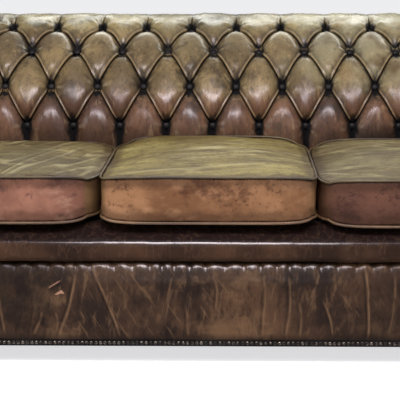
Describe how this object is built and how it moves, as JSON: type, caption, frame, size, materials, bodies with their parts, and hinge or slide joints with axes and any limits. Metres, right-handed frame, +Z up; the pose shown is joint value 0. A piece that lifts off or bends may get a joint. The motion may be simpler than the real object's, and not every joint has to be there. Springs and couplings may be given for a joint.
{
  "type": "three-seat leather sofa",
  "caption": "Worn leather sofa with a deep-buttoned rolled back and arms, loose box seat cushions, a stuffed front lip and a nailed border on bun feet.",
  "frame": {"origin": "on the floor, under the centre of the overall box", "axes": "+X along the seat, towards the right-hand arm as seen from the front; +Y from front to back; +Z up"},
  "size_m": [2.05, 0.928, 0.774],
  "materials": {
    "olive_leather": "worn olive-brown hide, satin, nearly black in the pleats and rubbed pale on the roll",
    "seat_leather": "worn olive-tan hide, satin, red-brown on the fronts with dark scuffs",
    "dark_leather": "worn dark brown hide, glossy, scuffed and scratched",
    "beech": "unfinished beech",
    "dark_beech": "dark stained and polished beech",
    "spring_steel": "plain drawn steel wire",
    "hessian": "coarse undyed hessian",
    "deck_cloth": "dark platform cloth over felt",
    "foam": "aged cushion foam",
    "cambric": "black dust cloth",
    "antique_brass": "dark aged brass"
  },
  "bodies": {
    "root": {"front_rail": "beech", "back_rail": "beech", "seat_back_rail": "beech", "side_rail_left": "beech", "side_rail_right": "beech", "seat_stretcher_left": "beech", "seat_stretcher_right": "beech", "corner_block_front_left": "beech", "corner_block_back_left": "beech", "corner_block_front_right": "beech", "corner_block_back_right": "beech", "back_top_rail": "beech", "back_post_left": "beech", "back_post_right": "beech", "back_upright_left": "beech", "back_upright_right": "beech", "arm_scroll_board_left": "beech", "arm_scroll_board_right": "beech", "arm_top_rail_left": "beech", "arm_top_rail_right": "beech", "arm_tack_rail_left": "beech", "arm_tack_rail_right": "beech", "seat_spring_1": "spring_steel", "seat_spring_2": "spring_steel", "seat_spring_3": "spring_steel", "seat_spring_4": "spring_steel", "seat_spring_5": "spring_steel", "seat_spring_6": "spring_steel", "seat_spring_7": "spring_steel", "seat_spring_8": "spring_steel", "seat_spring_9": "spring_steel", "foot_stud_front_left": "spring_steel", "foot_stud_back_left": "spring_steel", "foot_stud_front_right": "spring_steel", "foot_stud_back_right": "spring_steel", "seat_hessian": "hessian", "back_hessian": "hessian", "seat_deck_pad": "deck_cloth", "seat_lip": "dark_leather", "front_border": "dark_leather", "arm_facing_left": "dark_leather", "arm_facing_right": "dark_leather", "outside_arm_left": "dark_leather", "outside_arm_right": "dark_leather", "outside_back": "dark_leather", "inside_back": "olive_leather", "inside_arm_left": "olive_leather", "inside_arm_right": "olive_leather", "cushion_cover_left": "seat_leather", "cushion_cover_centre": "seat_leather", "cushion_cover_right": "seat_leather", "cushion_core_left": "foam", "cushion_core_centre": "foam", "cushion_core_right": "foam", "bun_foot_front_left": "dark_beech", "bun_foot_back_left": "dark_beech", "bun_foot_front_right": "dark_beech", "bun_foot_back_right": "dark_beech", "dust_cover": "cambric", "nail_banding": "antique_brass"}
  },
  "joints": []
}
